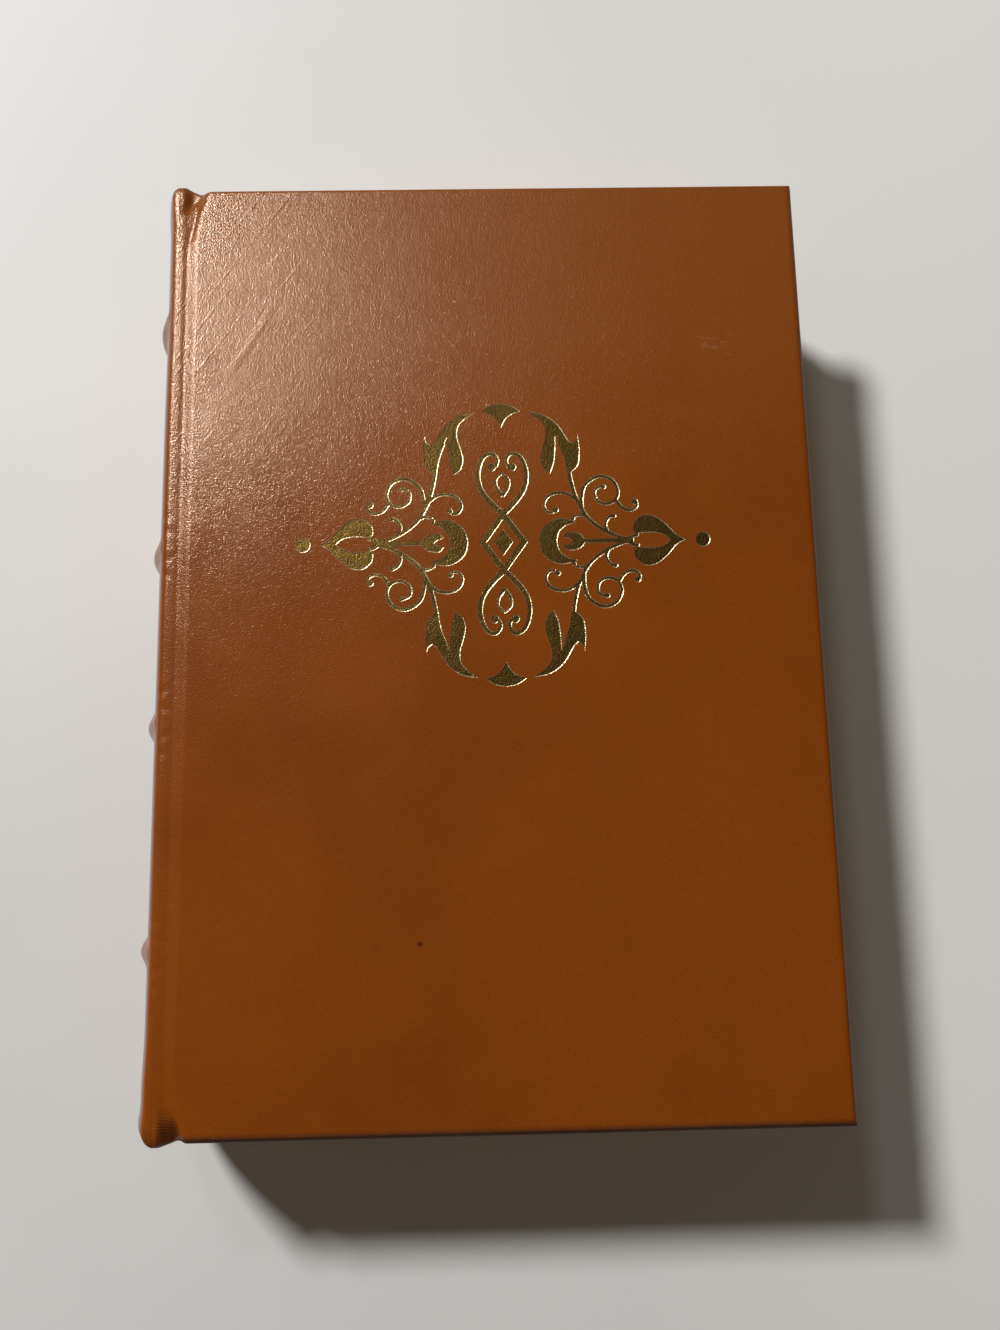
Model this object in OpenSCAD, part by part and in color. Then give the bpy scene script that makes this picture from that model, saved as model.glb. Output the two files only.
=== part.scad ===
// Leather-bound book: rounded spine with four raised bands, rolled caps, hinged covers
// and an arabesque stamped in gold on the front cover.
// X runs from the spine to the fore-edge, Y from tail to head, Z from back cover to front.
// The origin is the middle of the closed book's box, on the surface that the book lies on.

/* [Covers] */
// Height of a covered board, head to tail
cover_h = 241; // [215:1:300]
// Width of a covered board, joint to fore-edge
cover_w = 158.8; // [130:0.1:220]
// Thickness of the board inside its leather
board_t = 2.8; // [2:0.1:4]
// How much the corners of a board at the joint are cut back, along the head and tail
corner_cut_w = 3; // [1:0.5:8]
// How much the same corners are cut back along the joint
corner_cut_h = 13; // [4:0.5:20]

/* [Leather] */
// Thickness of the leather
leather_t = 0.9; // [0.6:0.05:1.2]
// Width of the leather turned in over the edges of a board
turn_in_w = 15; // [8:1:25]
// Thickness of the pared leather that is turned in
turn_in_t = 0.5; // [0.3:0.05:0.7]
// Rounding of the leather along the edges of a cover
edge_r = 1.2; // [0.8:0.1:1.6]
// Rounding of the two corners of a cover at the fore-edge, seen from the front
corner_r = 1.4; // [1:0.1:3]

/* [Joints] */
// Width of the joint, from the edge of the board to the crest of the shoulder
joint_w = 5.5; // [3.6:0.1:6.5]
// Depth of the joint's groove below the face of the cover
groove_d = 1.2; // [0.8:0.1:1.8]
// How far the crest of the shoulder lies below the face of the cover
shoulder_drop = 0.5; // [0.4:0.05:0.8]
// Rounding of the shoulder's crest
shoulder_r = 2.5; // [2:0.1:3.2]

/* [Pages] */
// Thickness of the pages at the fore-edge
block_t = 38.3; // [30:0.1:50]
// How far the covers stand past the pages
square_w = 3.2; // [2.5:0.1:5]
// Height of the shoulder that the backing turns up along each side of the spine
backing_h = 2.45; // [1.5:0.05:2.8]
// Thickness of an endpaper
endpaper_t = 0.25; // [0.15:0.05:0.4]
// Air between a flyleaf and the paper on the board
leaf_gap = 0.15; // [0.1:0.05:0.3]
// Border of turned-in leather that the paper on a board leaves bare
border_w = 4; // [2:0.5:8]

/* [Spine] */
// Radius of the rounded spine, outside the leather
spine_r = 58; // [46:0.5:66]
// Thickness of the card that stiffens the spine
inlay_t = 0.7; // [0.4:0.1:1]
// Thickness of the cloth and paper that line the backs of the pages
lining_t = 0.5; // [0.3:0.1:0.8]
// Air between the lining and the leather turned in behind the card
hollow_gap = 0.3; // [0.2:0.05:0.5]
// Film of glue between the pages and their lining, and round the core of a band
glue_t = 0.05; // [0.03:0.01:0.1]
// Distance of the lining's ends from the ends of the pages
lining_end = 12; // [8:1:20]

/* [Raised bands] */
// How far a band stands out of the spine
band_rise = 2.4; // [1.6:0.1:3.2]
// Width of a band at its foot
band_w = 11; // [8:0.5:14]
// Head of the cover to the middle of the first band
head_panel = 35; // [25:0.5:40]
// Middle of the first band to the second
upper_panel = 63; // [45:0.5:65]
// Middle of the third band to the fourth
lower_panel = 55.5; // [45:0.5:60]
// Middle of the fourth band to the tail of the cover
tail_panel = 42.5; // [30:0.5:45]

/* [Caps and headbands] */
// Radius of the rolled leather cap over each end of the spine
cap_r = 1.5; // [1.2:0.05:1.8]
// How far a cap stands proud of the spine
cap_proud = 0.3; // [0.2:0.05:0.35]
// Radius of the sewn core of a headband
headband_r = 0.8; // [0.5:0.05:0.85]

/* [Stamp] */
// Middle of the stamp above the middle of the cover
stamp_up = 21.7; // [-20:0.1:40]
// Middle of the stamp from the middle of the cover, towards the fore-edge
stamp_side = -0.3; // [-5:0.1:5]
// Width of the stamp from dot to dot
stamp_w = 105.2; // [84:0.1:120]
// Depth of the stamp below the face of the leather
stamp_d = 0.3; // [0.2:0.05:0.45]
// Thickness of the gold in the stamp
gold_t = 0.1; // [0.05:0.05:0.15]

/* [Hidden] */
$fn = 96;
cover_t = leather_t + board_t + turn_in_t + endpaper_t;
book_t = block_t + 2 * (endpaper_t + leaf_gap + cover_t);
mid_z = book_t / 2;

// Shoulder crest and spine, worked out so that the two arcs run into each other.
crest_z = book_t - shoulder_drop - shoulder_r;
crest_dz = crest_z - mid_z;
crest_dx = sqrt(pow(spine_r - shoulder_r, 2) - pow(crest_dz, 2));
crest_a = atan2(crest_dz, crest_dx);
total_w = cover_w + joint_w + spine_r + band_rise - crest_dx;
fore_x = total_w / 2;
edge_x = fore_x - cover_w;
crest_x = edge_x - joint_w;
hinge_x = edge_x - joint_w / 2;
spine_x = crest_x + crest_dx;

// Radii of the layers of the spine, from the leather inwards.
inlay_r = spine_r - leather_t;
tucked_r = inlay_r - inlay_t;
lining_r = tucked_r - turn_in_t - hollow_gap;
back_r = lining_r - lining_t - glue_t;

// Pages
block_h = cover_h - 2 * square_w;
block_fore = fore_x - square_w;
block_top = mid_z + block_t / 2;
back_top = block_top + backing_h;
back_dx = sqrt(pow(back_r, 2) - pow(back_top - mid_z, 2));
flare_x = edge_x + 0.4;
hollow_dx = sqrt(pow(back_r, 2) - pow(block_t / 2, 2));

// Distance of the joint's strip of leather from head and tail, and of the paper from the joint
strip_end = 0.5;
paper_gap = 0.1;

// Inner edges of the leather turned in over a board
turned_x = fore_x - turn_in_w;
turned_y = cover_h / 2 - turn_in_w;

// A band's ring turns about an axis nearer the spine, so that it sinks in before the shoulders.
fade_a = crest_a - 1;
band_shift = (pow(spine_r + band_rise, 2) - pow(spine_r, 2))
             / (2 * (spine_r + band_rise - spine_r * cos(fade_a)));
band_ring_r = spine_r + band_rise - band_shift;
band_a = atan2(spine_r * sin(fade_a), spine_r * cos(fade_a) - band_shift) + 1;
band_sink = 0.7;
band_y = [
    cover_h / 2 - head_panel,
    cover_h / 2 - head_panel - upper_panel,
    -cover_h / 2 + tail_panel + lower_panel,
    -cover_h / 2 + tail_panel
];

// Colours
leather_colour = [0.60, 0.32, 0.15];
paper_colour = [0.93, 0.89, 0.80];
gilt_colour = [0.80, 0.66, 0.35];
card_colour = [0.62, 0.55, 0.45];
cloth_colour = [0.85, 0.83, 0.76];
stamp_colour = [0.62, 0.52, 0.26];
silk_colour = [0.65, 0.20, 0.15];

// Directions

// Extrudes an outline drawn in X and Z along Y, to both sides of the middle.
module along_y(length) {
    rotate([90, 0, 0]) linear_extrude(height = length, center = true) children();
}

// Extrudes an outline drawn in Y and Z along X, from x = 0.
module along_x(length) {
    rotate([90, 0, 90]) linear_extrude(height = length) children();
}

// Puts a solid of revolution on an axis along Y, its angles measured from X towards Z.
module about_y(x, y, z) {
    translate([x, y, z]) rotate([90, 0, 0]) children();
}

// Turns a piece of the front cover over to make the back cover's.
module for_back() {
    translate([0, 0, book_t]) mirror([0, 0, 1]) children();
}

// A bent shell of the spine between two radii and two heights, within the angle a to each side.
module spine_shell(r_out, r_in, y0, y1, a) {
    about_y(spine_x, y0, mid_z) rotate([0, 0, 180 - a])
        translate([0, 0, y0 - y1])
            rotate_extrude(angle = 2 * a)
                translate([r_in, 0]) square([r_out - r_in, y1 - y0]);
}

// Spine

// Height of the leather over the joint, from the crest (u = 0) to the hinge (u = 1).
function groove_z(u) = book_t - shoulder_drop
    - (groove_d - shoulder_drop) * (1 - cos(180 * u)) / 2;

// Section of everything inside the spine's leather face, moved in by inset.
module spine_section(inset) {
    steps = 6;
    across = [for (i = [0:steps]) i / steps];
    far = 2 * spine_r;
    upper = [for (u = across) [crest_x + (hinge_x - crest_x) * u, groove_z(u) - inset]];
    lower = [for (i = [steps:-1:0]) [upper[i][0], book_t - upper[i][1]]];
    near_dz = (spine_x - hinge_x) * tan(crest_a);
    intersection() {
        translate([spine_x, mid_z]) circle(spine_r - inset);
        polygon([
            [hinge_x, mid_z - near_dz],
            [hinge_x, mid_z + near_dz],
            [spine_x - far, mid_z + far * tan(crest_a)],
            [spine_x - far, mid_z - far * tan(crest_a)]
        ]);
    }
    polygon(concat([[crest_x, crest_z]], upper, lower, [[crest_x, book_t - crest_z]]));
    for (z = [crest_z, book_t - crest_z]) intersection() {
        translate([crest_x, z]) circle(shoulder_r - inset);
        translate([crest_x - shoulder_r, z - shoulder_r])
            square([hinge_x - crest_x + shoulder_r, 2 * shoulder_r]);
    }
}

// Points of a band's rounded ridge, in radius and height along the spine.
function band_ridge(r, w, steps = 14) = [
    for (i = [0:steps])
        let (u = i / steps, swell = pow(0.5 - 0.5 * cos(360 * u), 0.75))
        [r - (band_rise + band_sink) * (1 - swell), w * (u - 0.5)]
];

// A band as a ring segment: inset is 0 for the leather's face and leather_t for the core.
module band_ring(y, inset, a = band_a) {
    r = band_ring_r - inset;
    w = band_w - 2 * inset;
    r_in = r - band_rise - 3;
    about_y(spine_x - band_shift, y, mid_z) rotate([0, 0, 180 - a])
        rotate_extrude(angle = 2 * a)
            polygon(concat([[r_in, -w / 2]], band_ridge(r, w), [[r_in, w / 2]]));
}

// The rolled cap: a round lip that follows the spine and runs over both shoulders to the joints.
module cap_roll() {
    roll_r = spine_r - cap_r + cap_proud;
    turn_x = spine_x - roll_r * cos(crest_a);
    turn_dz = roll_r * sin(crest_a);
    knuckle_r = cap_r + 0.06;
    joint_gap = 0.1;
    rotate([90, 0, 0]) {
        translate([spine_x, mid_z]) rotate([0, 0, 180 - crest_a])
            rotate_extrude(angle = 2 * crest_a) translate([roll_r, 0]) circle(cap_r);
        for (z = [mid_z - turn_dz, mid_z + turn_dz]) translate([turn_x, z, 0]) {
            sphere(knuckle_r);
            rotate([0, 90, 0]) cylinder(r = cap_r, h = hinge_x - turn_x - cap_r);
            translate([hinge_x - turn_x - knuckle_r - joint_gap, 0, 0]) sphere(knuckle_r);
        }
    }
}

module spine_leather() {
    tuck_a = crest_a - 3;
    color(leather_colour) {
        difference() {
            union() {
                along_y(cover_h) spine_section(0);
                for (y = band_y) band_ring(y, 0);
            }
            along_y(cover_h + 1) spine_section(leather_t);
            for (y = band_y) band_ring(y, leather_t);
        }
        for (end = [0, 1]) mirror([0, end, 0]) {
            translate([0, cover_h / 2, 0]) cap_roll();
            spine_shell(tucked_r, tucked_r - turn_in_t, turned_y, cover_h / 2, tuck_a);
        }
    }
}

module spine_inlay() {
    inlay_gap = 0.2;
    inlay_end = cover_h / 2 - cap_r - inlay_gap;
    inlay_a = crest_a - 2;
    color(card_colour) spine_shell(inlay_r, tucked_r, -inlay_end, inlay_end, inlay_a);
}

// The core of band i, glued over the inlay and pared away before the shoulders.
module band(i) {
    core_a = band_a - 4;
    color(card_colour) difference() {
        band_ring(band_y[i], leather_t + glue_t, core_a);
        along_y(cover_h) spine_section(leather_t - glue_t);
    }
}

module spine_lining() {
    lining_y = block_h / 2 - lining_end;
    lining_a = crest_a - 1;
    color(cloth_colour) spine_shell(lining_r, lining_r - lining_t, -lining_y, lining_y, lining_a);
}

// Pages

// Section of the sewn pages: rounded back, backed shoulders and the hollow fore-edge.
module block_section() {
    steps = 6;
    overshoot = 1.15;
    back_x = spine_x - back_dx;
    far_x = spine_x - 2 * back_r;
    flare = [for (i = [0:steps]) let (u = overshoot * i / steps)
        [flare_x + (back_x - flare_x) * u, block_top + backing_h * (1 - cos(90 * u))]];
    upper = concat([[block_fore, block_top]], flare, [[far_x, flare[steps][1]]]);
    lower = [for (i = [len(upper) - 1:-1:0]) [upper[i][0], book_t - upper[i][1]]];
    difference() {
        intersection() {
            polygon(concat(upper, lower));
            union() {
                translate([spine_x, mid_z]) circle(back_r);
                translate([spine_x - back_r / 2, 0]) square([total_w, book_t]);
            }
        }
        translate([block_fore + hollow_dx, mid_z]) circle(back_r);
    }
}

module text_block() {
    color(gilt_colour) along_y(block_h) block_section();
}

module front_flyleaf() {
    color(paper_colour) translate([flare_x, -block_h / 2, block_top])
        cube([block_fore - flare_x, block_h, endpaper_t]);
}

module back_flyleaf() {
    for_back() front_flyleaf();
}

// A sewn roll on the end of the pages, with its cloth glued down over their backs.
module headband() {
    sunk = 0.15;
    tuck = 0.5;
    roll_y = block_h / 2 + headband_r;
    roll_a = crest_a - 1;
    cloth_a = crest_a - 2;
    color(silk_colour) {
        about_y(spine_x, roll_y, mid_z) rotate([0, 0, 180 - roll_a])
            rotate_extrude(angle = 2 * roll_a)
                translate([back_r + sunk - headband_r, 0]) circle(headband_r);
        spine_shell(lining_r - 0.1, back_r + glue_t, block_h / 2 - lining_end + tuck, roll_y,
                    cloth_a);
    }
}

module tailband() {
    mirror([0, 1, 0]) headband();
}

// Covers

// Plan of a board: its corners are cut back at the joint and rounded at the fore-edge.
module board_plan(inset) {
    x0 = edge_x + inset;
    y1 = cover_h / 2 - inset;
    r = max(corner_r - inset, 0);
    turn = r > 0 ? [for (a = [0:22.5:90]) a] : [0];
    upper = concat(
        [for (a = turn) [fore_x - inset - r * (1 - cos(a)), y1 - r * (1 - sin(a))]],
        [[x0 + corner_cut_w, y1], [x0, y1 - corner_cut_h]]
    );
    lower = [for (i = [len(upper) - 1:-1:0]) [upper[i][0], -upper[i][1]]];
    polygon(concat(upper, lower));
}

// A bar section of the cover's leather with both its outer edges rounded.
module rounded_bar(from, to, z0, z1) {
    translate([from, z0]) square([to - from, z1 - z0 - edge_r]);
    translate([from + edge_r, z0]) square([to - from - 2 * edge_r, z1 - z0]);
    for (x = [from + edge_r, to - edge_r])
        translate([x, z1 - edge_r]) circle(edge_r);
}

module front_board() {
    color(card_colour) translate([0, 0, book_t - leather_t - board_t])
        linear_extrude(height = board_t) board_plan(leather_t);
}

module back_board() {
    for_back() front_board();
}

// The room between the turned-in leather at head, tail and fore-edge, made smaller by inset.
module between_turn_ins(inset, z, h) {
    past = 1;
    translate([edge_x - past, -turned_y + inset, z])
        cube([turned_x - inset - edge_x + past, 2 * (turned_y - inset), h]);
}

// Plan of the strip of leather that crosses the joint to the hinge.
module joint_plan() {
    y1 = cover_h / 2 - strip_end;
    y0 = y1 - corner_cut_h - 1;
    x0 = edge_x + leather_t;
    x1 = x0 + corner_cut_w;
    polygon([[hinge_x, -y1], [x1, -y1], [x0, -y0], [x0, y0], [x1, y1], [hinge_x, y1]]);
}

module cover_leather() {
    past = 1;
    overlap = 0.01;
    board_z = book_t - leather_t - board_t;
    inner_z = board_z - turn_in_t;
    joint_z = book_t - groove_d - leather_t;
    difference() {
        union() {
            intersection() {
                translate([0, 0, inner_z]) linear_extrude(height = book_t - inner_z)
                    board_plan(0);
                along_y(cover_h) rounded_bar(edge_x, fore_x, inner_z, book_t);
                translate([edge_x, 0, 0]) along_x(cover_w)
                    rounded_bar(-cover_h / 2, cover_h / 2, inner_z, book_t);
            }
            translate([0, 0, joint_z]) linear_extrude(height = leather_t) joint_plan();
        }
        translate([0, 0, board_z]) linear_extrude(height = board_t) board_plan(leather_t);
        between_turn_ins(0, inner_z - past, turn_in_t + past + overlap);
        translate([edge_x - past, -cover_h, inner_z - past])
            cube([past + leather_t + overlap, 2 * cover_h, joint_z - inner_z + past]);
    }
}

module front_leather() {
    color(leather_colour) difference() {
        cover_leather();
        in_stamp_place() linear_extrude(height = 1) stamp();
    }
}

module back_leather() {
    color(leather_colour) for_back() cover_leather();
}

// The paper pasted to the inside of a board, stepped where it climbs over the turned-in leather.
module front_pastedown() {
    past = 1;
    low_z = book_t - cover_t;
    paper_y = cover_h / 2 - border_w;
    paper_x = fore_x - border_w;
    color(paper_colour) difference() {
        intersection() {
            translate([0, 0, low_z]) linear_extrude(height = endpaper_t + turn_in_t)
                board_plan(leather_t + paper_gap);
            translate([edge_x, -paper_y, 0]) cube([paper_x - edge_x, 2 * paper_y, book_t]);
        }
        difference() {
            translate([edge_x, -cover_h / 2, low_z + endpaper_t])
                cube([cover_w, cover_h, turn_in_t + past]);
            between_turn_ins(0, low_z, book_t);
        }
        between_turn_ins(endpaper_t, low_z - past, turn_in_t + past);
    }
}

module back_pastedown() {
    for_back() front_pastedown();
}

// Stamp

// A smooth curve through the points, with n steps between each two.
function through(p, n = 3) = let (last = len(p) - 1) concat(
    [for (i = [0:last - 1], k = [0:n - 1])
        let (t = k / n, a = p[max(i - 1, 0)], b = p[i], c = p[i + 1], d = p[min(i + 2, last)])
        b + ((c - a) * t + (2 * a - 5 * b + 4 * c - d) * t * t
             + (3 * b - a - 3 * c + d) * t * t * t) / 2],
    [p[last]]
);

// A vine: a curve through the points that tapers from one width to another.
module vine(points, w0, w1) {
    c = through(points);
    last = len(c) - 1;
    side = [for (i = [0:last])
        let (d = c[min(i + 1, last)] - c[max(i - 1, 0)], w = w0 + (w1 - w0) * i / last)
        [-d[1], d[0]] / norm(d) * w / 2];
    polygon(concat([for (i = [0:last]) c[i] + side[i]],
                   [for (i = [last:-1:0]) c[i] - side[i]]));
}

// A leaf or petal: smooth stretches that meet in points.
module leaf(stretches) {
    polygon([for (s = stretches) each through(s)]);
}

// The quarter of the stamp above the middle, towards the fore-edge.
module stamp_quarter() {
    vine([[32.6, 0], [29, 1.1], [25.5, 2.8], [22, 5.6], [19.8, 9], [18.4, 12.5], [17.4, 17],
          [16.6, 22], [15, 26.5]], 0.9, 1.1);
    // round tendril and its curl
    vine([[20.2, 8.6], [20.2, 11.6], [21.3, 15], [24.8, 17.1], [28.2, 16], [29.6, 12.9],
          [28.5, 10.4], [26, 9.7], [23.9, 11], [23.7, 13.4], [25.6, 14.5]], 1, 0.7);
    translate([25.9, 14.3]) circle(0.65, $fn = 12);
    vine([[28.9, 10.8], [30.4, 8.7], [32.4, 7.9], [34.1, 8.7], [34.3, 10.1]], 0.9, 0.7);
    translate([33.7, 10.2]) circle(0.8, $fn = 12);
    // tendril towards the middle
    vine([[19, 10.7], [16.6, 12.5], [13.9, 12.8], [11.5, 11.8], [10.5, 9.6], [11.4, 7.8],
          [13, 7.6]], 0.8, 0.7);
    translate([13.5, 8.3]) circle(0.75, $fn = 12);
    // short hooks on the stem
    vine([[26.6, 2.2], [26, 4.2], [26.7, 5.8], [27.8, 6.6]], 0.9, 0.7);
    translate([28.2, 6.5]) circle(0.65, $fn = 12);
    vine([[21.6, 6.2], [19.8, 6.9], [18, 6.4]], 0.8, 0.6);
    translate([17.8, 5.9]) circle(0.55, $fn = 12);
    // lobed leaf at the top of the oval
    leaf([
        [[7, 34.7], [11, 33.9], [14.5, 31.3], [17.1, 27]],
        [[18.2, 26], [19.3, 26.9], [19.7, 28.2]],
        [[20.1, 24.5], [19.8, 20.8], [18.6, 19], [16.9, 17.8]],
        [[16.3, 21], [15.3, 25], [13.9, 28.2]],
        [[13.8, 24.5], [13.4, 21], [12.3, 18]],
        [[10.6, 19.3], [9.9, 21.8], [10.5, 25], [11.4, 28], [11.1, 31], [9.4, 33]]
    ]);
    // half of the fan
    leaf([[[0, 37], [2.7, 36.5], [5, 35]], [[3, 34.3], [1.2, 32.9], [0, 30.6]]]);
    // half of the heart-shaped leaf
    leaf([
        [[46.4, 0], [44, 1.3], [41.8, 3.8], [38.8, 6.2], [35.6, 6.5], [33.3, 4.6], [33, 2.4]],
        [[34, 1.7], [36.2, 2], [39, 1.9], [41.2, 1.1], [42.4, 0]]
    ]);
    vine([[31.6, 0], [32.6, 1], [34.4, 1.5]], 1, 0.9);
    // half of the palmette on the middle stem
    translate([17.5, -0.5]) square([15.6, 0.95]);
    leaf([
        [[9, 0], [9.7, 3], [12, 5.2], [15, 6], [18.6, 5]],
        [[16, 4.2], [14.2, 2.5], [13.6, 0]]
    ]);
    leaf([[[21, 0], [19.4, 1.9], [16.4, 2.4], [15.2, 1.2]], [[16.6, 0.8], [17.6, 0]]]);
    // half of the dot
    intersection() {
        translate([50.7, 0]) circle(1.9, $fn = 24);
        translate([48, 0]) square([6, 3]);
    }
    // lyre scroll and lozenge
    vine([[0.2, 7.6], [3, 10.4], [5.5, 14], [6.2, 18.3], [4.9, 22.4], [2.6, 23.6], [1.1, 21.9],
          [1.6, 20]], 1.5, 0.8);
    translate([2.6, 19.9]) circle(1.05, $fn = 14);
    vine([[0, 12.2], [1.4, 14.3], [1.6, 16.6], [0, 18.2]], 1, 0.5);
    polygon([[0, 8.6], [6.2, 0], [4.3, 0], [0, 6]]);
    polygon([[0, 3.4], [2.4, 0], [0, 0]]);
}

// The whole stamp, spread by the little that the gold creeps past the edge of the die.
module stamp() {
    creep = 0.05;
    drawn_w = 105.2;
    offset(delta = creep) scale(stamp_w / drawn_w)
        for (x = [0, 1], y = [0, 1]) mirror([x, 0]) mirror([0, y]) stamp_quarter();
}

module in_stamp_place() {
    translate([(edge_x + fore_x) / 2 + stamp_side, stamp_up, book_t - stamp_d]) children();
}

module front_gilding() {
    color(stamp_colour) in_stamp_place() linear_extrude(height = gold_t) stamp();
}

text_block();
front_flyleaf();
back_flyleaf();
headband();
tailband();
spine_lining();
spine_inlay();
spine_leather();
for (i = [0:len(band_y) - 1])
    band(i);
front_board();
front_leather();
front_pastedown();
front_gilding();
back_board();
back_leather();
back_pastedown();
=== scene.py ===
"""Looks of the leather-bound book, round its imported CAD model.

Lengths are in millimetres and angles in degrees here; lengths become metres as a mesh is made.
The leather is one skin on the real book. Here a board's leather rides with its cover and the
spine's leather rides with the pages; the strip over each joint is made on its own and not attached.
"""

import math

import bmesh
import bpy
from mathutils import Matrix, Vector, noise


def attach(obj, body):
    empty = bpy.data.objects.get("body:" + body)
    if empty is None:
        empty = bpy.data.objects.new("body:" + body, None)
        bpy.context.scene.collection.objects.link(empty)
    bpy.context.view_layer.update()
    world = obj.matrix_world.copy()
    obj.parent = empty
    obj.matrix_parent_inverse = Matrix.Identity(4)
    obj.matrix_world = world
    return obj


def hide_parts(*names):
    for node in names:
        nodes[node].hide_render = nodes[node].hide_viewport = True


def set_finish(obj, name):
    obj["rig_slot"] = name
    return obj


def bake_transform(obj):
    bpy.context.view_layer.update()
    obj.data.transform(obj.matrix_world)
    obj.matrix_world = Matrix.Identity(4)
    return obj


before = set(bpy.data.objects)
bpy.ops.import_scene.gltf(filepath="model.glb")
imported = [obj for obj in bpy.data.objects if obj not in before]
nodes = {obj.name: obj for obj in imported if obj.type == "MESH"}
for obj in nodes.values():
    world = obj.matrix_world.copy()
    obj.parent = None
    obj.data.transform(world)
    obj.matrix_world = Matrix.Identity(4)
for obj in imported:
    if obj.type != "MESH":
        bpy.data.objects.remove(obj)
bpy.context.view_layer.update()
MM = 0.001

# Sizes of the book, as in the part's source
BOOK_T, COVER_W, COVER_Y, BLOCK_Y = 48.0, 158.8, 120.5, 117.3
JOINT_W, SPINE_R, SHOULDER_R, BACK_R, CREST_Z = 5.5, 58.0, 2.5, 55.05, 45.0
COVER_T, EDGE_R = 4.2, 1.2
CORNER_W, CORNER_H = 3.0, 13.0
CAP_R, TURNED_Y = 1.9, 105.5
SKIN_T, PAPER_T, CLOTH_T = 0.8, 0.08, 0.2
BAND_Y, BAND_RISE, BAND_W, BAND_SINK = (85.5, 22.5, -22.5, -78.0), 2.4, 11.0, 0.7

CREST_DZ = CREST_Z - BOOK_T / 2
CREST_DX = math.sqrt((SPINE_R - SHOULDER_R) ** 2 - CREST_DZ ** 2)
CREST_A = math.degrees(math.atan2(CREST_DZ, CREST_DX))
FORE_X = (COVER_W + JOINT_W + SPINE_R + BAND_RISE - CREST_DX) / 2
EDGE_X = FORE_X - COVER_W
CREST_X, HINGE_X, CUT_X = EDGE_X - JOINT_W, EDGE_X - JOINT_W / 2, EDGE_X + 9
SPINE_X = CREST_X + CREST_DX
SEAM_A = CREST_A - 6
FADE = math.cos(math.radians(CREST_A - 1)) * SPINE_R
BAND_SHIFT = ((SPINE_R + BAND_RISE) ** 2 - SPINE_R ** 2) / (2 * (SPINE_R + BAND_RISE - FADE))
COVER_X = FORE_X - COVER_W / 2

# Places of the stamp, of the front cover's marks and of the painted shade in the fold at the tail's
# joint
STAMP = Vector((COVER_X - 0.3, 21.7))
SCUFF = Vector((COVER_X + 56.4, 74.3))
SPECK = Vector((COVER_X - 22.3, -76.8))
STREAK, STREAK_WAY = Vector((-57.3, 77.7)), Vector((0.494, 0.869))
PLEATS = Vector((EDGE_X - 2.2, -117.0))
PINCH_SHADE = Vector((EDGE_X - 0.9, -118.8))
RIM_W = 2.6


# Camera and light

camera = bpy.data.objects.new("camera", bpy.data.cameras.new("camera"))
camera.data.sensor_fit = "AUTO"
camera.data.sensor_width = 36
camera.data.lens = camera.data.sensor_width * 1100 / 1330
camera.data.clip_start, camera.data.clip_end = 0.01, 50
right = Vector((0.9996684, -0.0210679, 0.0148036))
up = Vector((0.0182215, 0.9850345, 0.1713916))
back = Vector((-0.0181928, -0.171065, 0.9850917))
turn = Matrix((right, up, back)).transposed()
eye = Vector((COVER_X * MM - 0.0068, -0.0566, 0.3171))
camera.matrix_world = Matrix.Translation(eye) @ turn.to_4x4()
bpy.context.collection.objects.link(camera)
bpy.context.scene.camera = camera


def lamp(name, direction, distance, size, power, colour):
    """A round lamp that shines at the origin from that far off, in metres and watts."""
    data = bpy.data.lights.new(name, "AREA")
    data.shape, data.size, data.energy, data.color = "DISK", size, power, colour
    obj = bpy.data.objects.new(name, data)
    towards = Vector(direction).normalized()
    obj.location = towards * distance
    obj.rotation_mode = "QUATERNION"
    obj.rotation_quaternion = towards.to_track_quat("Z", "Y")
    bpy.context.collection.objects.link(obj)


lamp("key", (-0.67, 0.75, 1), 2.2, 0.32, 44.5, (1, 0.985, 0.965))
lamp("window", (-0.415, 0.945, 1.33), 1.68, 0.2, 1.55, (1, 1, 1))

world = bpy.data.worlds.new("studio")
bpy.context.scene.world = world
world.use_nodes = True
world.node_tree.nodes["Background"].inputs[0].default_value = (1, 0.82, 0.66, 1)
world.node_tree.nodes["Background"].inputs[1].default_value = 0.085
bpy.context.scene.view_settings.view_transform = "Standard"


# Materials

class Value:
    """A value that varies over a surface. Sums on it add the nodes that work them out."""

    def __init__(self, finish, socket):
        self.finish, self.socket = finish, socket

    def sum(self, operation, first, second):
        return self.finish.node("Math", {"operation": operation}, [first, second])

    def __add__(self, other):
        return self.sum("ADD", self, other)

    def __sub__(self, other):
        return self.sum("SUBTRACT", self, other)

    def __rsub__(self, other):
        return self.sum("SUBTRACT", other, self)

    def __mul__(self, other):
        return self.sum("MULTIPLY", self, other)

    def __truediv__(self, other):
        return self.sum("DIVIDE", self, other)

    def __pow__(self, other):
        return self * self if other == 2 else self.sum("POWER", self, other)

    def __abs__(self):
        return self.sum("ABSOLUTE", self, 0)

    def wave(self):
        """0 to 1 and back over each turn of 2 pi."""
        return self.sum("SINE", self, 0) * 0.5 + 0.5

    def least(self, other):
        return self.sum("MINIMUM", self, other)

    def most(self, other):
        return self.sum("MAXIMUM", self, other)

    def between(self, low, high):
        """0 up to low, 1 from high on, and smooth in between; low may be the greater."""
        return self.finish.node("MapRange", {"interpolation_type": "SMOOTHSTEP"},
                                {"Value": self, "From Min": low, "From Max": high})

    __radd__, __rmul__ = __add__, __mul__


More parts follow.
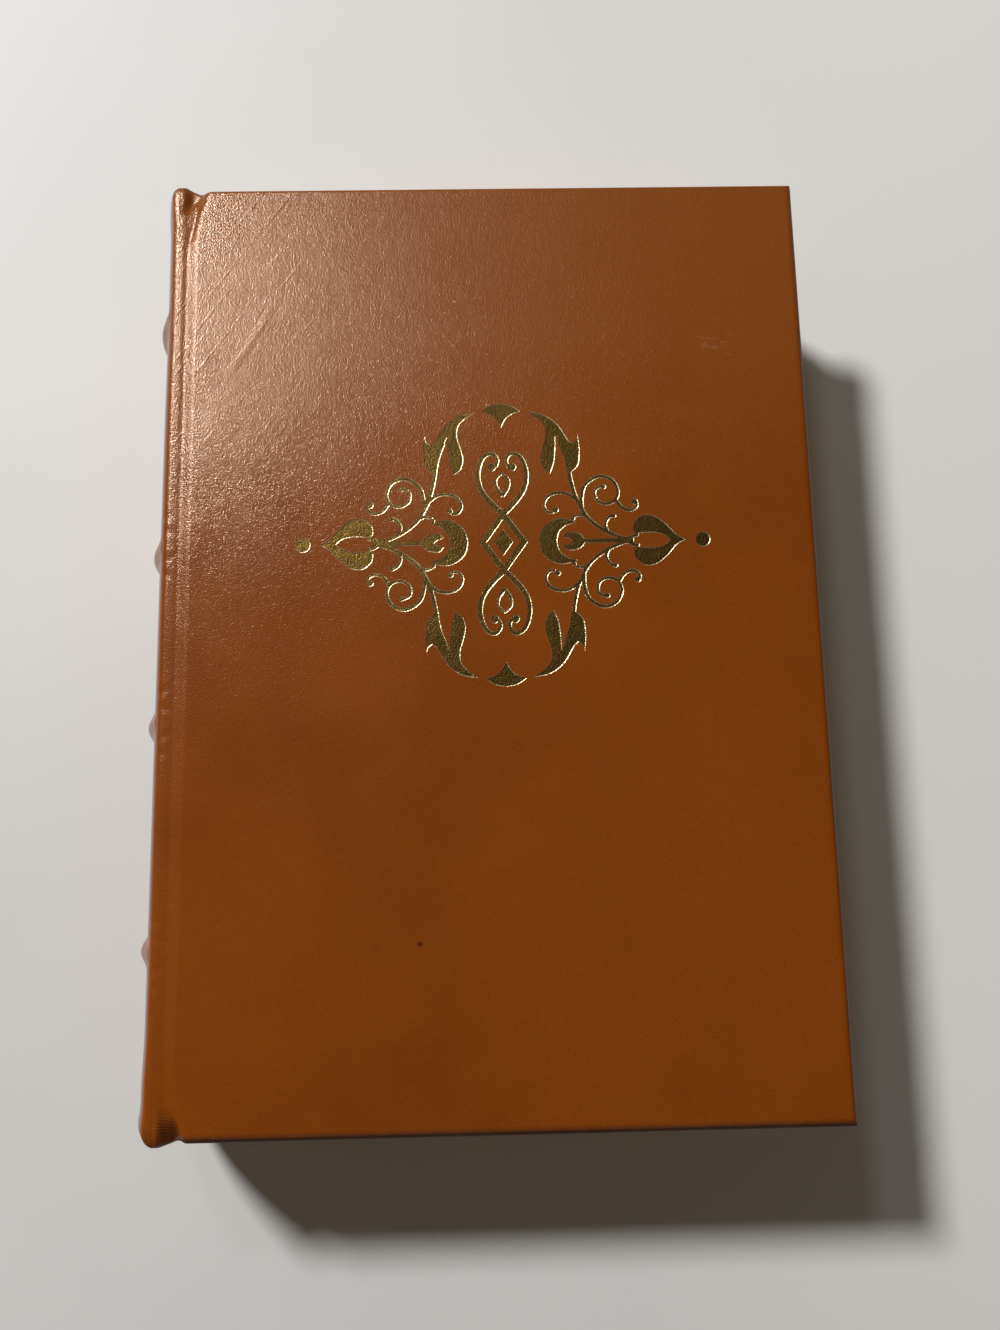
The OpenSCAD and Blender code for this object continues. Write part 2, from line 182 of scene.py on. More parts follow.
class Finish:
    """A material: one Principled shader, with what varies worked out from the surface's place."""

    def __init__(self, name, colour, roughness, metallic=0.0, **constants):
        self.material = bpy.data.materials.new(name)
        self.material.use_nodes = True
        self.tree = self.material.node_tree
        self.tree.nodes.clear()
        self.shader = self.tree.nodes.new("ShaderNodeBsdfPrincipled")
        out = self.tree.nodes.new("ShaderNodeOutputMaterial")
        self.tree.links.new(self.shader.outputs[0], out.inputs[0])
        self.set("Base Color", (*colour, 1))
        self.set("Roughness", roughness)
        self.set("Metallic", metallic)
        for socket, value in constants.items():
            self.set(socket.replace("_", " "), value)

    def set(self, socket, value):
        self.plug(self.shader.inputs[socket], value)

    def plug(self, socket, value):
        if isinstance(value, Value):
            self.tree.links.new(value.socket, socket)
        else:
            socket.default_value = value

    def node(self, kind, settings=None, inputs=(), output=0):
        """Any node: its settings go first, then its inputs, by name or in their order."""
        made = self.tree.nodes.new("ShaderNode" + kind)
        for key, value in (settings or {}).items():
            setattr(made, key, value)
        for key, value in inputs.items() if isinstance(inputs, dict) else enumerate(inputs):
            self.plug(made.inputs[key], value)
        return Value(self, made.outputs[output])

    def place(self, attribute=None):
        """Where a point of the surface is at rest, in metres."""
        if attribute:
            return self.node("Attribute", {"attribute_name": attribute}, output="Vector")
        return self.node("TexCoord", output="Object")

    def axes(self, place):
        """A place's x, y and z in millimetres."""
        split = self.node("SeparateXYZ", inputs=[place])
        outs = split.socket.node.outputs
        return [Value(self, outs[i]) * 1000 for i in range(3)]

    def stretched(self, place, scale):
        return self.node("Mapping", inputs={"Vector": place, "Scale": scale})

    def noise(self, place, scale, detail=2.0, roughness=0.5, distortion=0.0):
        return self.node("TexNoise", inputs={"Vector": place, "Scale": scale, "Detail": detail,
                                             "Roughness": roughness, "Distortion": distortion})

    def cells(self, place, scale, feature="F1", smooth=None):
        """Distance within cells of 1 / scale metres."""
        inputs = {"Vector": place, "Scale": scale}
        if smooth is not None:
            inputs["Smoothness"] = smooth
        return self.node("TexVoronoi", {"feature": feature}, inputs)

    def mix(self, share, first, second):
        first, second = [(*c, 1) if isinstance(c, tuple) else c for c in (first, second)]
        return self.node("Mix", {"data_type": "RGBA"}, {0: share, 6: first, 7: second}, output=2)

    def bump(self, height, distance, strength=1.0, under=None):
        inputs = {"Height": height, "Distance": distance, "Strength": strength}
        if under is not None:
            inputs["Normal"] = under
        made = self.node("Bump", inputs=inputs)
        self.set("Normal", made)
        return made


def grain(finish, place):
    """Height of fine calf grain: small pebbles, the creases between them, pores and soft waves."""
    bent = finish.noise(place, 260, 2)
    mottle = finish.noise(place, 700, 3)
    pebbles = finish.cells(place, 2700, "SMOOTH_F1", 0.5)
    creases = finish.cells(place, 1650, "DISTANCE_TO_EDGE").between(0.0, 0.4)
    fine = finish.noise(place, 4600, 2, 0.5)
    return pebbles * -0.75 + creases * 0.1 + fine * 0.5 + mottle * 0.7 + bent * 0.5


def oval(x, y, middle, half_x, half_y):
    """0 at the middle of an oval and 1 on its outline."""
    return ((x - middle.x) / half_x) ** 2 + ((y - middle.y) / half_y) ** 2


def leather_finish(name, front):
    """Chestnut leather, darker where it turns over a board: painted shade at the tail and fore-edge,
    which turn away from the lamps, and some wear. A painted sheen lightens it towards the head. The
    front has marks of its own, and painted shade in the fold at the tail's joint.
    """
    tan = Finish(name, (0.22, 0.05, 0.002), 0.25, IOR=1.7, Specular_Tint=(1, 0.775, 0.58, 1))
    place = tan.place("rest")
    x, y, z = tan.axes(place)
    broad = tan.noise(place, 14, 3, 0.55)
    clouds = tan.noise(place, 55, 4, 0.6, 0.6)
    speckle = tan.noise(place, 1400, 2, 0.6)
    colour = tan.mix(broad.between(0.3, 0.7), (0.214, 0.0455, 0.0012), (0.256, 0.0575, 0.002))
    colour = tan.mix(clouds.between(0.35, 0.75) * 0.4, colour, (0.268, 0.064, 0.003))
    colour = tan.mix(speckle.between(0.5, 0.8) * 0.3, colour, (0.115, 0.022, 0.0008))
    # Lighter and less red towards the head: a painted sheen, standing in for the lamps' broad
    # reflection there.
    colour = tan.mix(y.between(10, 115) * 0.8, colour, (0.245, 0.068, 0.0095))
    tail, fore = RIM_W - COVER_Y - y, x + (RIM_W - FORE_X)
    on_board = x.between(EDGE_X - 1, EDGE_X + 2)
    over = tail.most(fore).most(0) * on_board
    # Darker edges of the boards: painted shade where the tail and fore-edge turn away from the lamps,
    # and a thin dark line at the head, all made ragged like wear.
    rim_shade_and_wear = (tail.between(0.3, 2.1) * on_board * 0.9).most(fore.between(0.8, 2.5) * 0.45)
    rim_shade_and_wear = rim_shade_and_wear.most(tail.between(2.2, 4.2) * 0.6)
    rim_shade_and_wear = rim_shade_and_wear.most(y.between(COVER_Y - 0.8, COVER_Y + 0.4) * 0.3)
    ragged = tan.noise(place, 160, 3, 0.65).between(0.3, 0.62)
    colour = tan.mix(rim_shade_and_wear * (ragged * 0.25 + 0.75), colour, (0.022, 0.005, 0.0006))
    height = grain(tan, place) * (y.between(-10, 80) * 0.42 + 0.58)
    rough = tan.noise(place, 40, 3) * 0.06 + clouds * 0.04 + rim_shade_and_wear * 0.6 + 0.165
    rough = rough + x.between(EDGE_X + 1, EDGE_X - 1) * 0.03
    if front:
        aside = (abs(x - SCUFF.x) / 6).most(abs(y - SCUFF.y) / 4)
        scuff = tan.noise(tan.stretched(place, (300, 700, 300)), 1, 3, 0.7).between(0.5, 0.72)
        colour = tan.mix(scuff * aside.between(1.0, 0.2) * 0.55, colour, (0.36, 0.2, 0.12))
        speck = ((x - SPECK.x) ** 2 + (y - SPECK.y) ** 2) ** 0.5
        colour = tan.mix(speck.between(0.75, 0.35) * 0.8, colour, (0.03, 0.006, 0.004))
        slant = tan.node("VectorRotate", {"rotation_type": "Z_AXIS"},
                         {"Vector": place, "Angle": math.radians(-54)})
        streaks = tan.noise(tan.stretched(slant, (22, 420, 20)), 1, 2, 0.6).between(0.55, 0.75)
        streaks = streaks * x.between(COVER_X - 28, COVER_X - 66) * y.between(30, 80)
        rough = rough + streaks * -0.09
        right, up = x - STREAK.x, y - STREAK.y
        aside = right * STREAK_WAY.y - up * STREAK_WAY.x + clouds * 1.6 - 0.8
        along = abs(right * STREAK_WAY.x + up * STREAK_WAY.y)
        streak = abs(aside).between(1.5, 0.1) * along.between(16.5, 7)
        pleats = (y * 9.0 + x * 1.4).wave() * oval(x, y, PLEATS, 3.0, 3.0).between(1.0, 0.3)
        height = height + streaks * 0.6 + pleats * 0.9 + streak * 0.5
        # Painted shade: the hollow of the fold at the tail's joint made dark.
        pinch_shade = oval(x, y, PINCH_SHADE, 3.0, 4.8).between(1.0, -0.3) * 0.95
        colour = tan.mix(pinch_shade, colour, (0.014, 0.0035, 0.0006))
    tan.set("Base Color", colour)
    tan.set("Roughness", rough)
    grained = tan.bump(height, 0.00012, 0.7)
    tan.bump(over ** 2 * over.least(RIM_W) * -0.035, 0.001, 1.0, grained)
    return tan.material


def gilding_finish(name, floor, rough):
    """Foil pressed into the leather: the grain shows through, and it is rubbed in places."""
    foil = Finish(name, floor, rough, 1.0)
    place = foil.place("rest")
    rubbed = foil.noise(place, 900, 4, 0.7)
    tarnish = foil.noise(place, 120, 3, 0.6)
    dull = tuple(c * 0.5 for c in floor)
    colour = foil.mix(tarnish.between(0.35, 0.7) * 0.7, floor, dull)
    foil.set("Base Color", foil.mix(rubbed.between(0.66, 0.76), colour, (0.13, 0.045, 0.01)))
    foil.set("Roughness", tarnish * 0.15 + rough)
    foil.bump(grain(foil, place), 0.00012, 0.6)
    return foil.material


def page_finish():
    """Gilt edges of the pages: leaf over leaf, with the gatherings a little apart."""
    gilt = Finish("gilt_edges", (0.66, 0.46, 0.17), 0.32, 0.85)
    place = gilt.place()
    leaves = gilt.noise(gilt.stretched(place, (14, 14, 5200)), 1, 2, 0.55)
    gatherings = gilt.noise(gilt.stretched(place, (5, 5, 520)), 1, 2, 0.5)
    worn = gilt.noise(gilt.stretched(place, (60, 60, 900)), 1, 4, 0.7)
    colour = gilt.mix(leaves.between(0.35, 0.75) * 0.55, (0.70, 0.49, 0.19), (0.40, 0.26, 0.08))
    gilt.set("Base Color", gilt.mix(worn.between(0.62, 0.78) * 0.7, colour, (0.78, 0.68, 0.48)))
    gilt.set("Metallic", worn.between(0.8, 0.6) * 0.85)
    gilt.set("Roughness", leaves * 0.25 + 0.22)
    gilt.bump(leaves * 0.5 + gatherings * 1.1, 0.00022, 0.7)
    return gilt.material


def paper_finish(name, colour):
    """Laid endpaper: soft fibres, faint laid lines and a little toning towards the edges."""
    paper = Finish(name, colour, 0.8)
    place = paper.place()
    x, y = paper.axes(place)[:2]
    fibres = paper.noise(paper.stretched(place, (500, 1400, 500)), 1, 4, 0.7)
    toned = paper.noise(place, 25, 3, 0.6)
    edge = abs(y).between(95, 118).most(x.between(60, 85))
    shade = tuple(c * k for c, k in zip(colour, (0.93, 0.88, 0.78)))
    tint = paper.mix(toned.between(0.35, 0.75) * 0.5, colour, shade)
    tint = paper.mix(edge * 0.6, tint, shade)
    paper.set("Base Color", paper.mix(fibres.between(0.6, 0.8) * 0.3, tint, shade))
    laid = paper.node("TexWave", {"bands_direction": "Y"}, {"Vector": place, "Scale": 300.0})
    paper.bump(fibres + laid * 0.25, 0.00006, 0.5)
    return paper.material


def board_finish(name, colour):
    """Grey-brown board or card, pressed from fibres."""
    card = Finish(name, colour, 0.85)
    place = card.place()
    fibres = card.noise(card.stretched(place, (900, 900, 3500)), 1, 5, 0.7)
    flecks = card.cells(place, 700)
    dark = tuple(c * 0.7 for c in colour)
    card.set("Base Color", card.mix(fibres.between(0.35, 0.7), colour, dark))
    card.set("Roughness", flecks * 0.1 + 0.8)
    card.bump(fibres + flecks * 0.3, 0.0001, 0.6)
    return card.material


def cloth_finish(name, colour):
    """Open-weave cloth, glued down."""
    cloth = Finish(name, colour, 0.85)
    place = cloth.place()
    y, z = cloth.axes(place)[1:]
    weave = (y * 7.5).wave().most((z * 7.5).wave())
    soiled = cloth.noise(place, 80, 3)
    dark = tuple(c * 0.62 for c in colour)
    cloth.set("Base Color", cloth.mix(weave * 0.7 + soiled * 0.2, dark, colour))
    cloth.bump(weave, 0.00015, 0.8)
    return cloth.material


def silk_finish():
    """Headband threads, wound in turns of two colours."""
    silk = Finish("headband_silk", (0.4, 0.05, 0.04), 0.45, Sheen_Weight=0.3)
    turns = silk.node("Attribute", {"attribute_name": "turn"}, output="Fac")
    place = silk.place("rest")
    yellow = (turns * math.pi).wave().between(0.42, 0.58)
    colour = silk.mix(yellow, (0.34, 0.035, 0.03), (0.72, 0.52, 0.2))
    strands = (turns * (math.pi * 8)).wave()
    dust = silk.noise(place, 700, 3)
    silk.set("Base Color", silk.mix(dust * strands * 0.35, colour, (0.12, 0.03, 0.02)))
    silk.set("Roughness", strands * 0.2 + 0.35)
    silk.bump(strands + dust * 0.3, 0.00006, 0.6)
    return silk.material


front_tan = leather_finish("front_leather", True)
tan = leather_finish("leather", False)
# The stamp's gold twice: a dark copy for the sunk floor, which is painted shade, and a bright copy
# for the walls, which is a painted glint.
foil_floor_painted_shade = gilding_finish("gold_floor_painted_shade", (0.165, 0.1, 0.024), 0.28)
foil_wall_painted_glint = gilding_finish("gold_wall_painted_glint", (1.0, 0.84, 0.52), 0.26)
gilt = page_finish()
paper = paper_finish("endpaper", (0.80, 0.73, 0.58))
board = board_finish("board", (0.36, 0.30, 0.23))
card = board_finish("card", (0.50, 0.43, 0.33))
mull = cloth_finish("mull", (0.72, 0.68, 0.58))
silk = silk_finish()


# Making pieces

def smooth(t):
    t = min(1.0, max(0.0, t))
    return t * t * (3 - 2 * t)


def lerp(a, b, t):
    return a + (b - a) * t


def steps(start, end, count):
    return [lerp(start, end, i / count) for i in range(count)]


def finish_piece(name, bm, material, slot, smooth_angle=None, rest=True):
    """A piece from a bmesh in millimetres, its places at rest kept for its material."""
    if smooth_angle is not None:
        for edge in bm.edges:
            edge.smooth = len(edge.link_faces) != 2 or edge.calc_face_angle() < smooth_angle
    for edge in bm.edges:
        if edge.is_boundary:
            edge.smooth = False
    for face in bm.faces:
        face.smooth = True
    for v in bm.verts:
        v.co *= MM
    mesh = bpy.data.meshes.new(name)
    bm.to_mesh(mesh)
    bm.free()
    if rest:
        kept = mesh.attributes.new("rest", "FLOAT_VECTOR", "POINT")
        kept.data.foreach_set("vector", [c for v in mesh.vertices for c in v.co])
    for made in material if isinstance(material, (list, tuple)) else [material]:
        mesh.materials.append(made)
    obj = bpy.data.objects.new(name, mesh)
    bpy.context.collection.objects.link(obj)
    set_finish(obj, slot)
    return obj


def sheet_grid(columns, rows, at):
    """A grid whose point in column i and row k is at(i, k)."""
    bm = bmesh.new()
    across, along = len(columns) - 1, len(rows) - 1
    bmesh.ops.create_grid(bm, x_segments=across, y_segments=along, size=1)
    for v in bm.verts:
        i = round((v.co.x + 1) / 2 * across)
        k = round((v.co.y + 1) / 2 * along)
        v.co = at(columns[i], rows[k])
    return bm


def from_cad(node):
    """A merged copy of a CAD node's mesh, in millimetres."""
    bm = bmesh.new()
    bm.from_mesh(nodes[node].data)
    for v in bm.verts:
        v.co *= 1 / MM
    bmesh.ops.remove_doubles(bm, verts=bm.verts, dist=0.0008)
    return bm


# Leather over the spine and the joints

def band_height(angle, y):
    """How far the moulded bands stand out of the spine there. They run out before the shoulders."""
    a = math.radians(abs(angle))
    ring_r = SPINE_R + BAND_RISE - BAND_SHIFT
    reach = ring_r ** 2 - (BAND_SHIFT * math.sin(a)) ** 2
    ring = BAND_SHIFT * math.cos(a) + math.sqrt(max(reach, 0)) - SPINE_R
    for middle in BAND_Y:
        u = (y - middle) / (BAND_W + 1.2) + 0.5
        if -0.2 < u < 1.2:
            swell = (0.5 - 0.5 * math.cos(2 * math.pi * min(1, max(0, u)))) ** 0.75
            rise = ring - (BAND_RISE + BAND_SINK) * (1 - swell)
            soft = 1.1
            near = max(0.0, soft - abs(rise)) / soft
            return max(0.0, rise) + near * near * soft / 4
    return 0.0


def cover_height(x, y):
    """Height of the front leather from the shoulder's crest on: valley, board and cut corner."""
    out, straight = abs(y), x - EDGE_X
    low = BOOK_T - 0.5 - (0.08 + 0.12 * smooth((y - 10) / 80)) * smooth((x - CREST_X - 0.9) / 2.2)
    low -= (1.0 if y > 0 else 1.7) * smooth((out - 112) / 8) * smooth((straight + 4.6) / 2.6)
    past_corner = straight * CORNER_H - (out - COVER_Y + CORNER_H) * CORNER_W
    past_corner /= math.hypot(CORNER_W, CORNER_H)
    soft = 1.6
    near = max(0.0, soft - abs(straight - past_corner)) / soft
    inside = min(straight, past_corner) - near * near * soft / 4
    climb = min(1.0, max(0.0, (inside + 3.0) / 3.0))
    edge = lerp(climb, smooth(climb), 0.5)
    return low + (BOOK_T - low) * edge


# Rows of the leather where it turns over at head and tail: how far out, and how far up or down.
# WRAP is for a board. CAPS is for the spine, with the head's cap at 1 and the tail's at -1.
FLAT_ROWS, ROUND_ROWS = 14, 12
WORN_END = FLAT_ROWS + ROUND_ROWS
WRAP = [(lerp(116.4, COVER_Y - EDGE_R, k / FLAT_ROWS), 0.0) for k in range(FLAT_ROWS)]
for k in range(ROUND_ROWS + 1):
    a = math.pi * k / ROUND_ROWS
    if k <= ROUND_ROWS // 2:
        WRAP.append((COVER_Y - EDGE_R + EDGE_R * math.sin(a), EDGE_R * (math.cos(a) - 1)))
    else:
        WRAP.append((COVER_Y, -EDGE_R - (COVER_T - EDGE_R) * (2 * k / ROUND_ROWS - 1)))
WRAP += [(118.4, -COVER_T), (116, -COVER_T), (111, -COVER_T), (TURNED_Y, -COVER_T)]

CAPS = {}
for side, begin, proud in ((1, COVER_Y - 0.6, 1.9), (-1, 117.2, 1.1)):
    cap = [(lerp(116.4, begin, k / FLAT_ROWS), 0.0) for k in range(FLAT_ROWS)]
    for k in range(ROUND_ROWS + 1):
        a = math.pi * k / ROUND_ROWS
        foot = begin if 2 * k <= ROUND_ROWS else COVER_Y
        cap.append((foot + (COVER_Y + proud - foot) * math.sin(a), CAP_R * (math.cos(a) - 1)))
    CAPS[side] = cap + [(118.4, -3.0), (116, -2.3), (111, -2.1), (TURNED_Y, -2.1)]

# Rows from tail to head
rows = [("turned", -1, k) for k in reversed(range(len(WRAP)))]
straight_rows = steps(-116, -100, 40) + steps(-100, 100, 266) + steps(100, 116, 40) + [116]
rows += [("flat", y) for y in straight_rows]
rows += [("turned", 1, k) for k in range(len(WRAP))]


def flare(y):
    """How far the caps stand out of the spine."""
    return 0.25 * smooth((y - 110) / 8) + 0.4 * smooth((-y - 96) / 14) + 0.6 * smooth((-y - 112) / 8)


def lean(y):
    """The real spine isn't quite straight."""
    return 0.2 + 0.2 * math.exp(-(((y - 88) / 22) ** 2))


def skin_at(column, row, flip=False):
    """A point of the leather. A column is an angle round the spine, or a place across the cover.

    Flipped, it is the back cover's.
    """
    kind, place = column
    if row[0] == "flat":
        y, out, level_y, outside = row[1], 0.0, row[1], True
    else:
        side, k = row[1], row[2]
        t = smooth((place - EDGE_X + 4.2) / 5.2) if kind == "across" else 0.0
        reach, out = (lerp(a, b, t) for a, b in zip(CAPS[side][k], WRAP[k]))
        y = side * reach
        if kind == "angle":
            worn = 0.4 if side > 0 else 1.8
            y -= side * worn * smooth((85 - abs(place)) / 70) * smooth((reach - 115) / 7)
        else:
            away = place - EDGE_X - 1.3
            notch = math.exp(-((away / (0.9 if away > 0 else 1.9)) ** 2))
            deep = 0.1 if side > 0 else 0.4
            y -= side * deep * notch * smooth((reach - 114) / 6.5)
        outside = k <= WORN_END
        level_y = side * min(119.3, abs(y)) if outside else side * 119.3
    if kind == "angle":
        a = math.radians(place)
        stand = flare(y) * (1 - 0.85 * smooth((abs(place) - 50) / 32)) if outside else 0.0
        if abs(place) <= CREST_A:
            out += stand + (band_height(place, y) if row[0] == "flat" else 0.0)
            reach = SPINE_R + out
            point = Vector((SPINE_X - reach * math.cos(a), y, BOOK_T / 2 + reach * math.sin(a)))
        else:
            reach = SHOULDER_R + out + stand
            point = Vector((CREST_X - reach * math.cos(a), y, CREST_Z + reach * math.sin(a)))
        point.x += lean(y)
    else:
        point = Vector((place, y, cover_height(place, level_y) + out))
        point.x += lean(y) * (1 - smooth((place - CREST_X) / 3))
    if outside:
        point.z -= creased(point)
    wander = 0.11 if kind == "angle" else 0.11 * smooth((EDGE_X + 6 - place) / 4)
    point.z += wander * noise.noise(Vector((point.x / 14, point.y / 16, 3.0)))
    if flip:
        point.z = BOOK_T - point.z
    return point


# Creases of the leather: from x and y to x and y, x from the board's edge, with depth and half width
creases = [(-4.2, -110.5, 0.0, -118.6, 0.28, 1.2), (-0.8, -108.8, 2.9, -113.3, 0.1, 0.45),
           (-2.5, 105, -0.2, 116.5, 0.25, 0.7), (-4.4, 113.5, -0.8, 119.6, 0.4, 1.1)]
for middle in BAND_Y:
    for side in (-1, 1):
        foot = middle + side * (BAND_W / 2 + 0.6)
        creases += [(-9.1, foot, -4.8, foot + side * 2.2, 0.16, 0.85),
                    (-7.2, foot - side * 2.0, -3.2, foot - side * 3.4, 0.1, 0.7)]
creases = [(Vector((EDGE_X + a, b)), Vector((EDGE_X + c, d)), deep, half)
           for a, b, c, d, deep, half in creases]


def creased(point):
    """How far the creases sink the leather there."""
    p, sunk = point.xy, 0.0
    for start, end, deep, half in creases:
        if abs(p.y - start.y) < 14:
            t = (p - start).dot(end - start) / (end - start).length_squared
            t = min(0.98, max(0.02, t))
            gap = (p - start.lerp(end, t)).length / half
            sunk += deep * math.exp(-gap * gap) * math.sin(math.pi * t) ** 0.7
    return sunk


# Columns from the back of the spine to the front cover
spine_columns = [("angle", a) for a in steps(-SEAM_A, SEAM_A, 48) + [SEAM_A]]
joint_columns = [("angle", a) for a in steps(SEAM_A, CREST_A, 10) + steps(CREST_A, 90, 14)]
joint_columns += [("across", x) for x in steps(CREST_X, HINGE_X, 8) + steps(HINGE_X, EDGE_X + 2, 18)
                  + steps(EDGE_X + 2, CUT_X, 12) + [CUT_X]]


def thicken(obj, thickness):
    made = obj.modifiers.new("thickness", "SOLIDIFY")
    made.thickness, made.offset = thickness * MM, -1


def turn_out(bm, outwards):
    """Makes a sheet's faces point outwards at its middle row."""
    bm.faces.ensure_lookup_table()
    outer = [f for f in bm.faces if abs(f.calc_center_median().y) < 60]
    if sum(f.normal.dot(outwards) * f.calc_area() for f in outer) < 0:
        bmesh.ops.reverse_faces(bm, faces=bm.faces)


def leather_spine():
    bm = sheet_grid(spine_columns, rows, skin_at)
    bmesh.ops.recalc_face_normals(bm, faces=bm.faces)
    turn_out(bm, Vector((-1, 0, 0)))
    obj = finish_piece("spine_skin", bm, tan, "leather")
    thicken(obj, SKIN_T)
    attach(obj, "book_block")
    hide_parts("spine_leather")


def across_joint(obj):
    """Bakes the piece's place into its mesh. The joint's limits, from the shoulder's crest to the
    board's edge, are worked out and not used.
    """
    CREST_X * MM + 0.0004
    EDGE_X * MM - 0.0002
    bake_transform(obj)


def leather_joint(name, material, flip):
    bm = sheet_grid(joint_columns, rows, lambda c, r: skin_at(c, r, flip))
    turn_out(bm, Vector((0, 0, -1 if flip else 1)))
    obj = finish_piece(name, bm, material, "leather")
    thicken(obj, SKIN_T)
    across_joint(obj)


def in_pocket(point):
    away = point.xy - STAMP
    return BOOK_T - 0.6 < point.z < BOOK_T - 0.02 and abs(away.x) < 58 and abs(away.y) < 44


def leather_cover(name, node, material, body, stamped):
    """A board's leather from the joint strip on, out of the CAD node, with room for the gold."""
    bm = from_cad(node)
    bmesh.ops.bisect_plane(bm, geom=bm.verts[:] + bm.edges[:] + bm.faces[:], dist=0.0001,
                           plane_co=(CUT_X, 0, 0), plane_no=(1, 0, 0), clear_inner=True)
    if stamped:
        pocket = [f for f in bm.faces if any(in_pocket(v.co) for v in f.verts)]
        bmesh.ops.delete(bm, geom=pocket, context="FACES")
    obj = finish_piece(name, bm, material, "leather", math.radians(35))
    even = obj.modifiers.new("even", "WEIGHTED_NORMAL")
    even.keep_sharp = True
    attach(obj, body)
    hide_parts(node)


leather_spine()
leather_cover("front_board_skin", "front_leather", front_tan, "front_cover", True)
leather_joint("front_joint_skin", front_tan, False)
leather_cover("back_board_skin", "back_leather", tan, "back_cover", False)
leather_joint("back_joint_skin", tan, True)


# Gold in the stamp

def gilding():
    """The foil: its walls slope from the leather's face to a sunk floor."""
    bm = from_cad("front_gilding")
    under = [f for f in bm.faces if f.normal.z < 0.9]
    bmesh.ops.delete(bm, geom=under, context="FACES")
    for v in bm.verts:
        v.co.z = BOOK_T
    floor = bm.faces[:]
    # The walls take the second, brighter gold, a painted glint. The floor keeps the darker gold,
    # painted shade.
    for wide, deep in ((0.09, -0.022), (0.08, -0.045), (0.05, -0.07)):
        walls = bmesh.ops.inset_region(bm, faces=floor, thickness=wide, depth=deep,
                                       use_even_offset=False, use_boundary=True)["faces"]
        for face in walls:
            face.material_index = 1
    obj = finish_piece("gold_stamp", bm, [foil_floor_painted_shade, foil_wall_painted_glint], "gold")
    for face in obj.data.polygons:
        face.use_smooth = False
    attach(obj, "front_cover")
    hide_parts("front_gilding")


gilding()


# Endpapers' folds

def endpaper_fold(name, flip):
    """The paper between flyleaf and pastedown: over the pages' shoulder, then across the joint.

    A column is a place across the book and a height.
    """
    leaf_x, leaf_z, rise, paste_z = EDGE_X + 0.4, 43.45, 2.45, 43.5
    back_x = SPINE_X - math.sqrt(BACK_R ** 2 - (leaf_z + rise - 0.3 - BOOK_T / 2) ** 2)
    shoulder = [(leaf_x + 1.2, leaf_z + 0.03)]
    for u in steps(0, 1, 8) + [1]:
        shoulder.append((lerp(leaf_x, back_x, u), leaf_z + rise * (1 - math.cos(u * math.pi / 2))))
    across = [(back_x, 45.97), (back_x + 0.5, 46.15)]
    across += [(x, 46.2) for x in steps(back_x + 1, EDGE_X + 0.6, 16)]
    across += [(EDGE_X + 0.8, z) for z in (46.1, 45.2, 44.3, 43.6)]
    across += [(EDGE_X + 1.1, paste_z), (EDGE_X + 2.4, paste_z)]
    for part, columns, half in (("shoulder", shoulder, 117), ("joint", across, 113.5)):
        bm = sheet_grid(columns, steps(-half, half, 26) + [half],
                        lambda c, y: Vector((c[0], y, BOOK_T - c[1] if flip else c[1])))
        turn_out(bm, Vector((0, 0, -1 if flip else 1)))
        obj = finish_piece(f"{name}_{part}_paper", bm, paper, "endpaper")
        thicken(obj, PAPER_T)
        if part == "shoulder":
            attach(obj, "book_block")
        else:
            across_joint(obj)


endpaper_fold("front", False)
endpaper_fold("back", True)


# Headbands

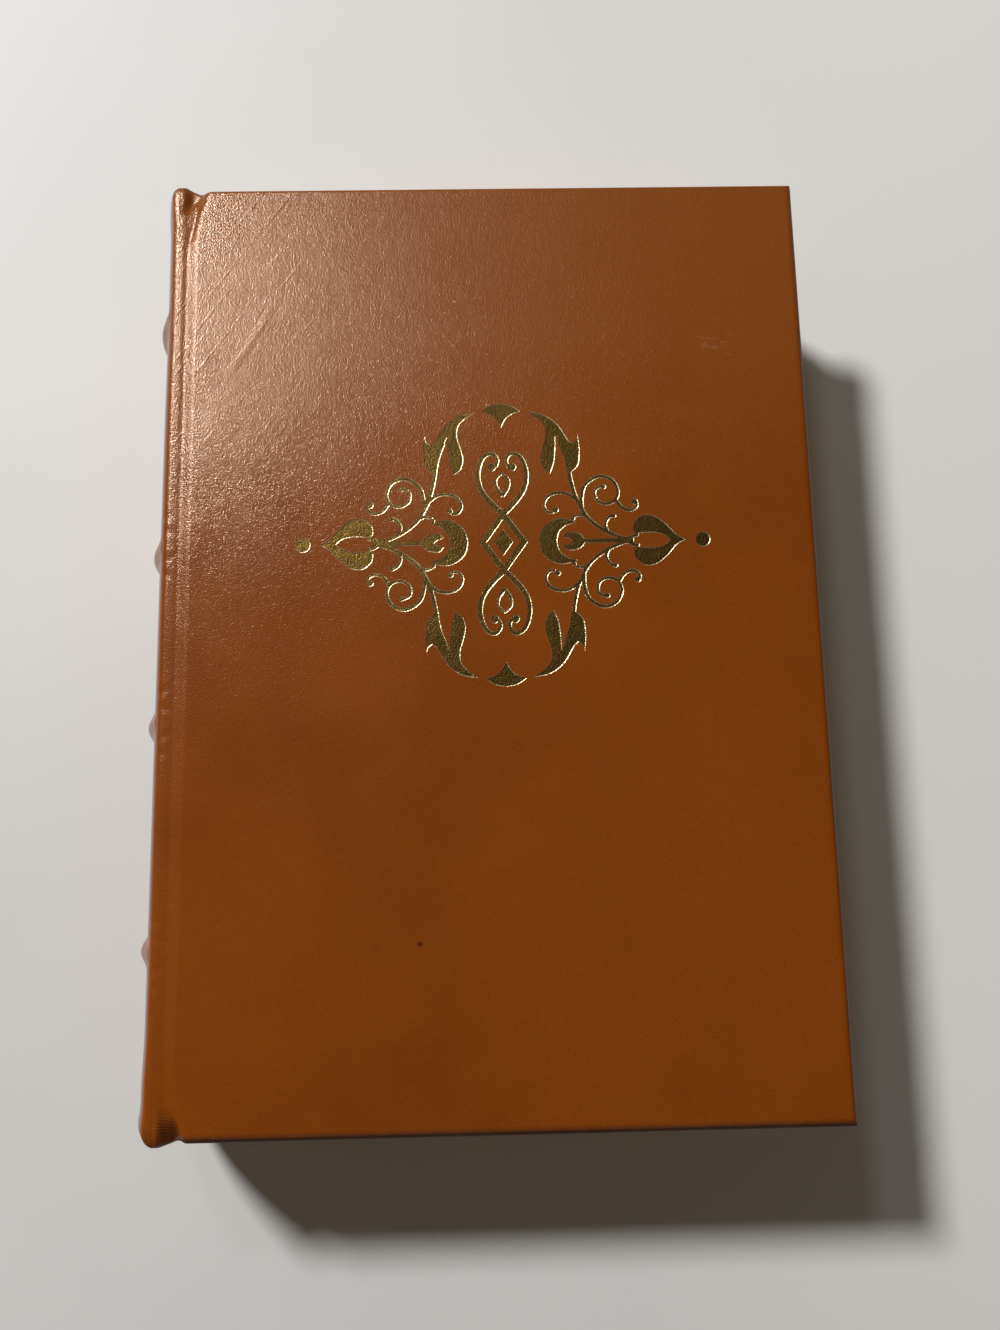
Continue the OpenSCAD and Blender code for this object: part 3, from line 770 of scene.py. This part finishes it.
def headband(node, side):
    """Silk wound over a core, with a bead at the foot of each turn, and its glued cloth."""
    core_r, sunk, half = 0.8, 0.15, CREST_A - 1
    middle = BACK_R + sunk - core_r
    turns = 2 * math.radians(half) * middle / 0.62
    rounds = 14
    angles = steps(-half, half, int(turns) * 8) + [half]
    around = steps(0, 360, rounds) + [360]

    def at(angle, turned):
        t = (angle + half) / (2 * half) * turns
        a, b = math.radians(angle), math.radians(turned)
        r = core_r * (0.9 + 0.12 * abs(math.sin(math.pi * t)))
        if 150 < turned < 230:
            r += 0.12 * abs(math.sin(math.pi * t / 2))
        reach = middle + r * math.cos(b)
        return Vector((SPINE_X - reach * math.cos(a), side * (BLOCK_Y + core_r) + r * math.sin(b),
                       BOOK_T / 2 + reach * math.sin(a)))

    bm = sheet_grid(angles, around, at)
    bmesh.ops.remove_doubles(bm, verts=bm.verts, dist=0.0005)
    bmesh.ops.holes_fill(bm, edges=[e for e in bm.edges if e.is_boundary])
    bmesh.ops.recalc_face_normals(bm, faces=bm.faces)
    obj = finish_piece(node + "_silk", bm, silk, "silk")
    wound = obj.data.attributes.new("turn", "FLOAT", "POINT")
    values = []
    for v in obj.data.vertices:
        dx, dz = SPINE_X - v.co.x / MM, v.co.z / MM - BOOK_T / 2
        values.append((math.degrees(math.atan2(dz, dx)) + half) / (2 * half) * turns)
    wound.data.foreach_set("value", values)
    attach(obj, "book_block")
    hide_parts(node)

    cloth_a, cloth_r = CREST_A - 2, BACK_R + 0.35

    def laid(angle, y):
        a = math.radians(angle)
        return Vector((SPINE_X - cloth_r * math.cos(a), side * y, BOOK_T / 2 + cloth_r * math.sin(a)))

    bm = sheet_grid(steps(-cloth_a, cloth_a, 36) + [cloth_a], steps(105.8, 118, 10) + [118], laid)
    turn_out(bm, Vector((-1, 0, 0)))
    obj = finish_piece(node + "_cloth", bm, mull, "silk")
    thicken(obj, CLOTH_T)
    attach(obj, "book_block")


headband("headband", 1)
headband("tailband", -1)


# Solids whose shape is right as it is

for names, material in (("text_block", gilt), ("front_board back_board", board),
                        ("spine_inlay band_1 band_2 band_3 band_4", card), ("spine_lining", mull),
                        ("front_flyleaf back_flyleaf front_pastedown back_pastedown", paper)):
    for name in names.split():
        nodes[name].data.materials.clear()
        nodes[name].data.materials.append(material)


# Table

bm = bmesh.new()
bmesh.ops.create_grid(bm, x_segments=2, y_segments=2, size=2500)
for v in bm.verts:
    v.co.z = -0.25
table = finish_piece("table", bm, [], "leather", rest=False)
del table["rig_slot"]
pale = Finish("table", (0.74, 0.74, 0.735), 0.6)
spot = pale.noise(pale.place(), 9, 4, 0.55)
lit = pale.mix(spot.between(0.3, 0.7), (0.73, 0.735, 0.73), (0.76, 0.76, 0.755))
# The table lightens towards the right: painted light, where the lamps' own light falls off.
pale.set("Base Color", pale.mix(pale.axes(pale.place())[0].between(0, 190), lit, (0.85, 0.85, 0.84)))
table.data.materials.append(pale.material)
